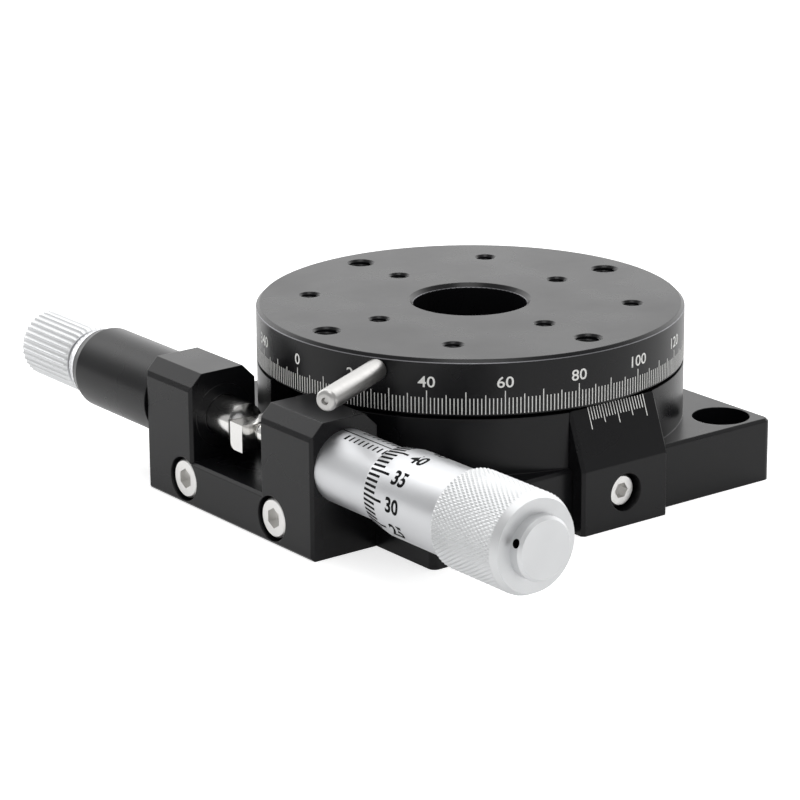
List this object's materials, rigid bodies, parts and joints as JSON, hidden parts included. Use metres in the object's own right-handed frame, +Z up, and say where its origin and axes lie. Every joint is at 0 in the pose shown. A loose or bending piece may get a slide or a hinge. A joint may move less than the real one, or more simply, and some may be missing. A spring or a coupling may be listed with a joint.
{
  "type": "manual rotation stage",
  "caption": "Manual rotation stage: square base, round graduated table with tapped holes and centre bore, side bracket with micrometer fine drive and opposing spring plunger.",
  "frame": {"origin": "on the rotation axis, at the base's bottom face", "axes": "+Z up along the rotation axis; Y along the micrometer, whose thimble points to -Y; the bracket is on the -X side"},
  "size_m": [0.0717, 0.1154, 0.025],
  "materials": {
    "black_anodised": "satin black anodised",
    "screw_steel": "bright socket screws",
    "ground_steel": "ground",
    "spring_wire": "drawn wire",
    "bearing_plastic": "low-friction washer",
    "brass": "turned",
    "satin_chrome": "satin",
    "polished_chrome": "polished"
  },
  "bodies": {
    "base": {"base_body": "black_anodised", "vernier_block": "black_anodised", "vernier_screw": "screw_steel", "bearing_outer_ring": "ground_steel", "bearing_rollers": "ground_steel", "bearing_retainer": "ground_steel", "retainer_screws": "screw_steel", "thrust_washer": "bearing_plastic", "micrometer_bracket": "black_anodised", "bracket_screws": "screw_steel", "sleeve_set_screw": "screw_steel", "housing_set_screw": "screw_steel", "micrometer_sleeve": "satin_chrome", "micrometer_nut": "brass", "spring_housing": "black_anodised", "knob_collar": "polished_chrome"},
    "fine_ring": {"fine_adjust_ring": "black_anodised", "lever_arm": "ground_steel", "arm_screw": "screw_steel"},
    "table": {"table": "black_anodised", "bearing_inner_ring": "ground_steel", "hub_retainer": "ground_steel", "hub_screws": "screw_steel"},
    "clamp_tip": {"clamp_tip": "brass"},
    "clamp_screw": {"clamp_screw": "ground_steel"},
    "clamp_pin": {"clamp_pin": "brass"},
    "spindle": {"micrometer_spindle": "ground_steel"},
    "thimble": {"micrometer_thimble": "satin_chrome", "thimble_cap": "satin_chrome"},
    "plunger": {"spring_plunger": "ground_steel", "plunger_spring": "spring_wire"},
    "spring_seat": {"spring_seat": "brass"},
    "preload_knob": {"preload_knob": "satin_chrome"}
  },
  "joints": [
    {"name": "fine_rotation", "type": "hinge", "parent": "base", "child": "fine_ring", "pos_m": [0, 0, 0.013], "axis": [0, 0, 1], "range_deg": [-5, 5]},
    {"name": "table_spin", "type": "hinge", "parent": "fine_ring", "child": "table", "pos_m": [0, 0, 0.017], "axis": [0, 0, 1], "continuous": true},
    {"name": "spindle_feed", "type": "slide", "parent": "base", "child": "spindle", "axis": [0, 1, 0], "range_m": [-0.00305, 0.00305]},
    {"name": "thimble_turn", "type": "hinge", "parent": "spindle", "child": "thimble", "pos_m": [-0.035, 0, 0.0123], "axis": [0, 1, 0], "range_deg": [-2200, 2200]},
    {"name": "plunger_travel", "type": "slide", "parent": "base", "child": "plunger", "axis": [0, 1, 0], "range_m": [-0.00306, 0.00306], "deforming": ["plunger_spring"]},
    {"name": "clamp_feed", "type": "slide", "parent": "table", "child": "clamp_tip", "axis": [-0.8886, -0.4586, 0], "range_m": [0, 0.000224]},
    {"name": "clamp_turn", "type": "hinge", "parent": "clamp_tip", "child": "clamp_screw", "pos_m": [-0.03288, -0.01697, 0.023], "axis": [-0.8886, -0.4586, 0], "range_deg": [0, 180]},
    {"name": "clamp_pin_lift", "type": "slide", "parent": "table", "child": "clamp_pin", "axis": [0, 0, 1], "range_m": [0, 0.00023]},
    {"name": "preload_feed", "type": "slide", "parent": "base", "child": "spring_seat", "axis": [0, 1, 0], "range_m": [0, 0.00209]},
    {"name": "knob_turn", "type": "hinge", "parent": "spring_seat", "child": "preload_knob", "pos_m": [-0.035, 0.05, 0.0123], "axis": [0, 1, 0], "range_deg": [0, 1080]}
  ],
  "couplings": [
    {"joint": "thimble_turn", "follows": "spindle_feed", "rad_per_m": 12566},
    {"joint": "fine_rotation", "follows": "spindle_feed", "rad_per_m": -28.571},
    {"joint": "plunger_travel", "follows": "spindle_feed", "ratio": 1},
    {"joint": "clamp_turn", "follows": "clamp_feed", "rad_per_m": 13963},
    {"joint": "clamp_pin_lift", "follows": "clamp_feed", "ratio": 1},
    {"joint": "knob_turn", "follows": "preload_feed", "rad_per_m": 8976}
  ]
}
